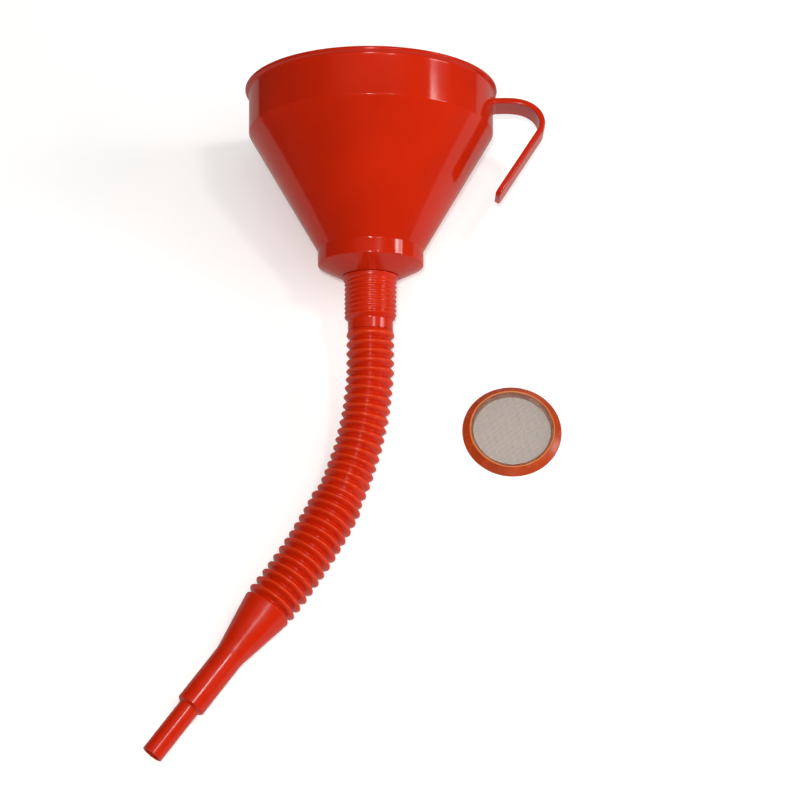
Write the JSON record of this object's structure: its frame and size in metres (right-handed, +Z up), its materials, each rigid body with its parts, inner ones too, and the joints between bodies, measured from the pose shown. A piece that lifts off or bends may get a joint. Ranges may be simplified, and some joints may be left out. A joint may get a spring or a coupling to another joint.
{
  "type": "funnel",
  "caption": "Hand funnel with a conical bowl, hook handle, screw-on corrugated flexible spout with a stepped nozzle, and a lift-out gauze strainer.",
  "frame": {"origin": "on the table under the middle of the whole set as it lies", "axes": "+Z up from the table, +Y out of the mouth, +X towards the hook side; the spout curves away to -X"},
  "size_m": [0.25, 0.4424, 0.159],
  "materials": {
    "bowl_plastic": "glossy injection-moulded polyethylene",
    "spout_plastic": "semi-gloss blow-moulded polyethylene",
    "strainer_plastic": "semi-gloss moulded polyethylene, orange",
    "gauze_wire": "fine woven wire gauze"
  },
  "bodies": {
    "spout_collar": {"spout_collar": "spout_plastic"},
    "bowl": {"bowl": "bowl_plastic", "hook": "bowl_plastic"},
    "strainer": {"strainer_ring": "strainer_plastic", "strainer_gauze": "gauze_wire"},
    "hose_ring_01": {"hose_ring_01": "spout_plastic"},
    "hose_ring_02": {"hose_ring_02": "spout_plastic"},
    "hose_ring_03": {"hose_ring_03": "spout_plastic"},
    "hose_ring_04": {"hose_ring_04": "spout_plastic"},
    "hose_ring_05": {"hose_ring_05": "spout_plastic"},
    "hose_ring_06": {"hose_ring_06": "spout_plastic"},
    "hose_ring_07": {"hose_ring_07": "spout_plastic"},
    "hose_ring_08": {"hose_ring_08": "spout_plastic"},
    "hose_ring_09": {"hose_ring_09": "spout_plastic"},
    "hose_ring_10": {"hose_ring_10": "spout_plastic"},
    "hose_ring_11": {"hose_ring_11": "spout_plastic"},
    "hose_ring_12": {"hose_ring_12": "spout_plastic"},
    "hose_ring_13": {"hose_ring_13": "spout_plastic"},
    "hose_ring_14": {"hose_ring_14": "spout_plastic"},
    "hose_ring_15": {"hose_ring_15": "spout_plastic"},
    "nozzle": {"nozzle": "spout_plastic"}
  },
  "joints": [
    {"name": "bowl_unscrew", "type": "slide", "parent": "spout_collar", "child": "bowl", "axis": [0, 0.9642, 0.2653], "range_m": [0, 0.045]},
    {"name": "strainer_lift", "type": "slide", "parent": "spout_collar", "child": "strainer", "axis": [0, 0, 1], "range_m": [0, 0.1]},
    {"name": "side_bend_1", "type": "hinge", "parent": "spout_collar", "child": "hose_ring_01", "pos_m": [0.00503, 0.04248, 0.03898], "axis": [0, 0, -1], "range_deg": [-15, 7]},
    {"name": "lift_bend_1", "type": "hinge", "parent": "hose_ring_01", "child": "hose_ring_02", "pos_m": [0.005, 0.03128, 0.0359], "axis": [-1, 0.0025, 0], "range_deg": [0, 8]},
    {"name": "side_bend_2", "type": "hinge", "parent": "hose_ring_02", "child": "hose_ring_03", "pos_m": [0.00497, 0.02007, 0.03281], "axis": [0, 0, -1], "range_deg": [-15, 7]},
    {"name": "lift_bend_2", "type": "hinge", "parent": "hose_ring_03", "child": "hose_ring_04", "pos_m": [0.00369, 0.00894, 0.02973], "axis": [-0.9935, 0.1141, 0], "range_deg": [0, 8]},
    {"name": "side_bend_3", "type": "hinge", "parent": "hose_ring_04", "child": "hose_ring_05", "pos_m": [0.00241, -0.0022, 0.02668], "axis": [0, 0, -1], "range_deg": [-15, 7]},
    {"name": "lift_bend_3", "type": "hinge", "parent": "hose_ring_05", "child": "hose_ring_06", "pos_m": [-0.00006, -0.01313, 0.02363], "axis": [-0.9754, 0.2205, 0], "range_deg": [0, 8]},
    {"name": "side_bend_4", "type": "hinge", "parent": "hose_ring_06", "child": "hose_ring_07", "pos_m": [-0.00257, -0.02424, 0.02129], "axis": [0, 0, -1], "range_deg": [-15, 7]},
    {"name": "lift_bend_4", "type": "hinge", "parent": "hose_ring_07", "child": "hose_ring_08", "pos_m": [-0.00618, -0.03503, 0.01894], "axis": [-0.9483, 0.3173, 0], "range_deg": [0, 8]},
    {"name": "side_bend_5", "type": "hinge", "parent": "hose_ring_08", "child": "hose_ring_09", "pos_m": [-0.00985, -0.04599, 0.01777], "axis": [0, 0, -1], "range_deg": [-15, 7]},
    {"name": "lift_bend_5", "type": "hinge", "parent": "hose_ring_09", "child": "hose_ring_10", "pos_m": [-0.01449, -0.05658, 0.01659], "axis": [-0.916, 0.4012, 0], "range_deg": [0, 8]},
    {"name": "side_bend_6", "type": "hinge", "parent": "hose_ring_10", "child": "hose_ring_11", "pos_m": [-0.01942, -0.06785, 0.0164], "axis": [0, 0, -1], "range_deg": [-15, 7]},
    {"name": "lift_bend_6", "type": "hinge", "parent": "hose_ring_11", "child": "hose_ring_12", "pos_m": [-0.02524, -0.07868, 0.0162], "axis": [-0.881, 0.4732, 0], "range_deg": [0, 8]},
    {"name": "side_bend_7", "type": "hinge", "parent": "hose_ring_12", "child": "hose_ring_13", "pos_m": [-0.03106, -0.08952, 0.0162], "axis": [0, 0, -1], "range_deg": [-15, 7]},
    {"name": "lift_bend_7", "type": "hinge", "parent": "hose_ring_13", "child": "hose_ring_14", "pos_m": [-0.03754, -0.09997, 0.0162], "axis": [-0.8501, 0.5267, 0], "range_deg": [0, 8]},
    {"name": "side_bend_8", "type": "hinge", "parent": "hose_ring_14", "child": "hose_ring_15", "pos_m": [-0.04402, -0.11043, 0.0162], "axis": [0, 0, -1], "range_deg": [-15, 7]},
    {"name": "lift_bend_8", "type": "hinge", "parent": "hose_ring_15", "child": "nozzle", "pos_m": [-0.05112, -0.12047, 0.0162], "axis": [-0.8161, 0.5779, 0], "range_deg": [0, 8]}
  ],
  "couplings": [
    {"joint": "side_bend_2", "follows": "side_bend_1", "ratio": 1},
    {"joint": "lift_bend_2", "follows": "lift_bend_1", "ratio": 1},
    {"joint": "side_bend_3", "follows": "side_bend_1", "ratio": 1},
    {"joint": "lift_bend_3", "follows": "lift_bend_1", "ratio": 1},
    {"joint": "side_bend_4", "follows": "side_bend_1", "ratio": 1},
    {"joint": "lift_bend_4", "follows": "lift_bend_1", "ratio": 1},
    {"joint": "side_bend_5", "follows": "side_bend_1", "ratio": 1},
    {"joint": "lift_bend_5", "follows": "lift_bend_1", "ratio": 1},
    {"joint": "side_bend_6", "follows": "side_bend_1", "ratio": 1},
    {"joint": "lift_bend_6", "follows": "lift_bend_1", "ratio": 1},
    {"joint": "side_bend_7", "follows": "side_bend_1", "ratio": 1},
    {"joint": "lift_bend_7", "follows": "lift_bend_1", "ratio": 1},
    {"joint": "side_bend_8", "follows": "side_bend_1", "ratio": 1},
    {"joint": "lift_bend_8", "follows": "lift_bend_1", "ratio": 1}
  ]
}
